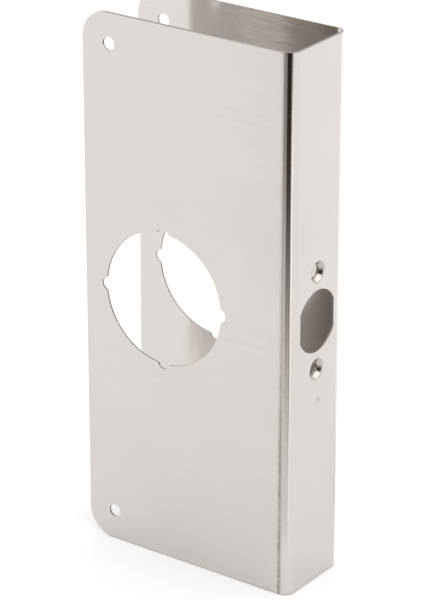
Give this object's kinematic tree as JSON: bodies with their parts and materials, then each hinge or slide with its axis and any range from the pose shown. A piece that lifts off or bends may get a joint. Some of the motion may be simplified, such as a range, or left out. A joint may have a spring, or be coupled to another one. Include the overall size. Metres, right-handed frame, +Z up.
{
  "type": "door reinforcer",
  "caption": "Folded stainless steel channel that wraps a door's edge round its lock, with a lock bore in both panels, a latch hole and dimpled screw holes in the edge face.",
  "frame": {"origin": "on the door's mid-plane, where the lock bore's axis crosses the latch's axis, at mid-height", "axes": "+X along the latch's axis, out of the door's edge; +Y along the lock bore's axis, out of the door's rear face; +Z up, along the fold lines"},
  "size_m": [0.0995, 0.0364, 0.2286],
  "materials": {
    "stainless_sheet": "satin brushed stainless steel, grain running round the fold"
  },
  "bodies": {
    "root": {"reinforcer_plate": "stainless_sheet"}
  },
  "joints": []
}
